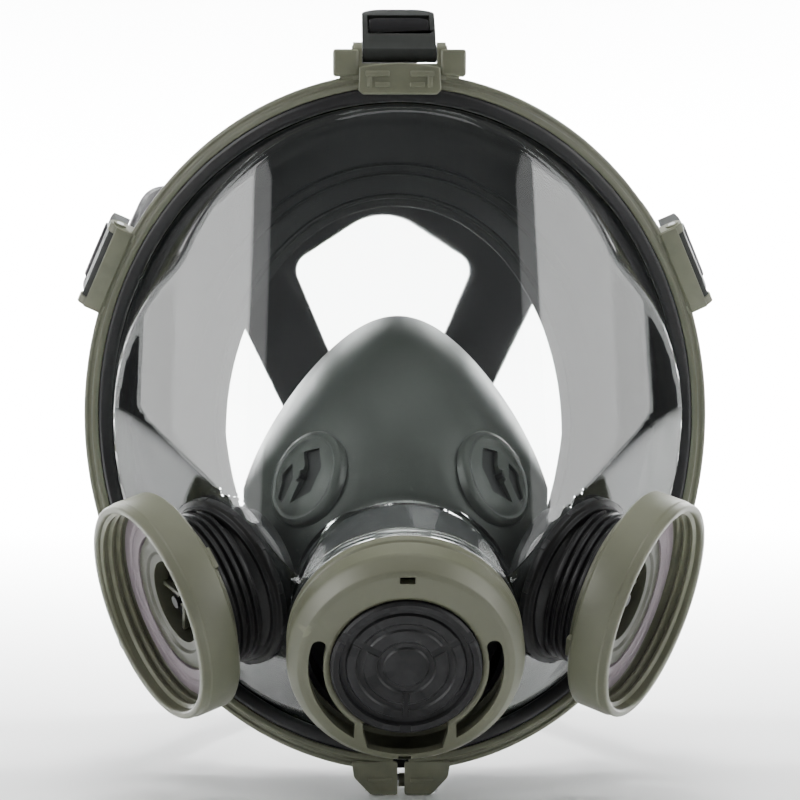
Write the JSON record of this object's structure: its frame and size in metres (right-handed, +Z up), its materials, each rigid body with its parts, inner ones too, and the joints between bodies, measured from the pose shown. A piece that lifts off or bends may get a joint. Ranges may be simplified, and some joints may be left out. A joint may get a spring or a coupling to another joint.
{
  "type": "full face respirator",
  "caption": "Full face respirator mask with panoramic visor, inner nose cup, side filter ports, front exhalation port and roller-buckle head harness.",
  "frame": {"origin": "centre of the face opening, where the wearer's face meets the seal", "axes": "+Z up, -Y out of the front of the visor, +X to the viewer's right when looking at the visor"},
  "size_m": [0.2052, 0.2758, 0.2504],
  "materials": {
    "face_seal": "satin",
    "visor": "gloss",
    "frame_band_left": "satin",
    "frame_band_right": "satin",
    "clamp_screw": "satin",
    "clamp_nut": "satin",
    "top_clip": "satin",
    "nose_cup": "satin",
    "check_seat_left": "satin",
    "check_seat_right": "satin",
    "check_disc_left": "satin",
    "check_disc_right": "satin",
    "collar_insert": "gloss",
    "valve_housing": "satin",
    "exhalation_disc": "satin",
    "speech_diaphragm": "satin",
    "front_cap": "satin",
    "front_cover": "satin",
    "filter_ring_left": "satin",
    "filter_ring_right": "satin",
    "filter_gasket_left": "satin",
    "filter_gasket_right": "satin",
    "inhalation_seat_left": "satin",
    "inhalation_seat_right": "satin",
    "inhalation_disc_left": "satin",
    "inhalation_disc_right": "satin",
    "port_neck_left": "satin",
    "port_neck_right": "satin",
    "port_flange_left": "satin",
    "port_flange_right": "satin",
    "port_nut_left": "satin",
    "port_nut_right": "satin",
    "buckle_top": "satin",
    "buckle_temple_left": "satin",
    "buckle_temple_right": "satin",
    "buckle_cheek_left": "satin",
    "buckle_cheek_right": "satin",
    "roller_top": "satin",
    "roller_temple_left": "satin",
    "roller_temple_right": "satin",
    "roller_cheek_left": "satin",
    "roller_cheek_right": "satin",
    "pin_top": "satin",
    "pin_temple_left": "satin",
    "pin_temple_right": "satin",
    "pin_cheek_left": "satin",
    "pin_cheek_right": "satin",
    "harness_plate": "satin",
    "strap_top": "satin",
    "strap_temple_left": "satin",
    "strap_temple_right": "satin",
    "strap_cheek_left": "satin",
    "strap_cheek_right": "satin"
  },
  "bodies": {
    "mask": {"face_seal": "face_seal", "visor": "visor", "frame_band_left": "frame_band_left", "frame_band_right": "frame_band_right", "clamp_screw": "clamp_screw", "clamp_nut": "clamp_nut", "top_clip": "top_clip", "nose_cup": "nose_cup", "check_seat_left": "check_seat_left", "check_seat_right": "check_seat_right", "collar_insert": "collar_insert", "valve_housing": "valve_housing", "speech_diaphragm": "speech_diaphragm", "front_cap": "front_cap", "front_cover": "front_cover", "filter_ring_left": "filter_ring_left", "filter_ring_right": "filter_ring_right", "filter_gasket_left": "filter_gasket_left", "filter_gasket_right": "filter_gasket_right", "inhalation_seat_left": "inhalation_seat_left", "inhalation_seat_right": "inhalation_seat_right", "port_neck_left": "port_neck_left", "port_neck_right": "port_neck_right", "port_flange_left": "port_flange_left", "port_flange_right": "port_flange_right", "port_nut_left": "port_nut_left", "port_nut_right": "port_nut_right", "pin_top": "pin_top", "pin_temple_left": "pin_temple_left", "pin_temple_right": "pin_temple_right", "pin_cheek_left": "pin_cheek_left", "pin_cheek_right": "pin_cheek_right", "harness_plate": "harness_plate", "strap_top": "strap_top", "strap_temple_left": "strap_temple_left", "strap_temple_right": "strap_temple_right", "strap_cheek_left": "strap_cheek_left", "strap_cheek_right": "strap_cheek_right"},
    "buckle_top_body": {"buckle_top": "buckle_top"},
    "roller_top_body": {"roller_top": "roller_top"},
    "buckle_temple_left_body": {"buckle_temple_left": "buckle_temple_left"},
    "roller_temple_left_body": {"roller_temple_left": "roller_temple_left"},
    "buckle_temple_right_body": {"buckle_temple_right": "buckle_temple_right"},
    "roller_temple_right_body": {"roller_temple_right": "roller_temple_right"},
    "buckle_cheek_left_body": {"buckle_cheek_left": "buckle_cheek_left"},
    "roller_cheek_left_body": {"roller_cheek_left": "roller_cheek_left"},
    "buckle_cheek_right_body": {"buckle_cheek_right": "buckle_cheek_right"},
    "roller_cheek_right_body": {"roller_cheek_right": "roller_cheek_right"},
    "exhalation_disc_body": {"exhalation_disc": "exhalation_disc"},
    "inhalation_disc_left_body": {"inhalation_disc_left": "inhalation_disc_left"},
    "check_disc_left_body": {"check_disc_left": "check_disc_left"},
    "inhalation_disc_right_body": {"inhalation_disc_right": "inhalation_disc_right"},
    "check_disc_right_body": {"check_disc_right": "check_disc_right"}
  },
  "joints": [
    {"name": "buckle_top_swing", "type": "hinge", "parent": "mask", "child": "buckle_top_body", "pos_m": [0, -0.057, 0.1137], "axis": [-1, 0, 0], "range_deg": [-45, 30], "deforming": ["strap_top"]},
    {"name": "roller_top_turn", "type": "hinge", "parent": "buckle_top_body", "child": "roller_top_body", "pos_m": [0, -0.04713, 0.12035], "axis": [-1, 0, 0], "continuous": true},
    {"name": "buckle_temple_left_swing", "type": "hinge", "parent": "mask", "child": "buckle_temple_left_body", "pos_m": [-0.0939, -0.02695, 0.04865], "axis": [-0.397, 0.2898, -0.8709], "range_deg": [-60, 5], "deforming": ["strap_temple_left"]},
    {"name": "roller_temple_left_turn", "type": "hinge", "parent": "buckle_temple_left_body", "child": "roller_temple_left_body", "pos_m": [-0.09323, -0.01559, 0.05213], "axis": [-0.397, 0.2898, -0.8709], "continuous": true},
    {"name": "buckle_temple_right_swing", "type": "hinge", "parent": "mask", "child": "buckle_temple_right_body", "pos_m": [0.0939, -0.02695, 0.04865], "axis": [-0.397, -0.2898, 0.8709], "range_deg": [-60, 5], "deforming": ["strap_temple_right"]},
    {"name": "roller_temple_right_turn", "type": "hinge", "parent": "buckle_temple_right_body", "child": "roller_temple_right_body", "pos_m": [0.09323, -0.01559, 0.05213], "axis": [-0.397, -0.2898, 0.8709], "continuous": true},
    {"name": "buckle_cheek_left_swing", "type": "hinge", "parent": "mask", "child": "buckle_cheek_left_body", "pos_m": [-0.0801, -0.03877, -0.07139], "axis": [0.5569, -0.4307, -0.7101], "range_deg": [-45, 20], "deforming": ["strap_cheek_left"]},
    {"name": "roller_cheek_left_turn", "type": "hinge", "parent": "buckle_cheek_left_body", "child": "roller_cheek_left_body", "pos_m": [-0.08033, -0.02868, -0.0777], "axis": [0.5569, -0.4307, -0.7101], "continuous": true},
    {"name": "buckle_cheek_right_swing", "type": "hinge", "parent": "mask", "child": "buckle_cheek_right_body", "pos_m": [0.0801, -0.03877, -0.07139], "axis": [0.5569, 0.4307, 0.7101], "range_deg": [-45, 20], "deforming": ["strap_cheek_right"]},
    {"name": "roller_cheek_right_turn", "type": "hinge", "parent": "buckle_cheek_right_body", "child": "roller_cheek_right_body", "pos_m": [0.08033, -0.02868, -0.0777], "axis": [0.5569, 0.4307, 0.7101], "continuous": true},
    {"name": "exhalation_disc_lift", "type": "slide", "parent": "mask", "child": "exhalation_disc_body", "axis": [0, -0.9135, -0.4067], "range_m": [0, 0.002], "stiffness_N_per_m": 15},
    {"name": "inhalation_disc_left_lift", "type": "slide", "parent": "mask", "child": "inhalation_disc_left_body", "axis": [0.8536, 0.4219, 0.3057], "range_m": [0, 0.0015], "stiffness_N_per_m": 15},
    {"name": "check_disc_left_lift", "type": "slide", "parent": "mask", "child": "check_disc_left_body", "axis": [0.718, 0.5952, -0.3608], "range_m": [0, 0.0015], "stiffness_N_per_m": 15},
    {"name": "inhalation_disc_right_lift", "type": "slide", "parent": "mask", "child": "inhalation_disc_right_body", "axis": [-0.8536, 0.4219, 0.3057], "range_m": [0, 0.0015], "stiffness_N_per_m": 15},
    {"name": "check_disc_right_lift", "type": "slide", "parent": "mask", "child": "check_disc_right_body", "axis": [-0.718, 0.5952, -0.3608], "range_m": [0, 0.0015], "stiffness_N_per_m": 15}
  ]
}
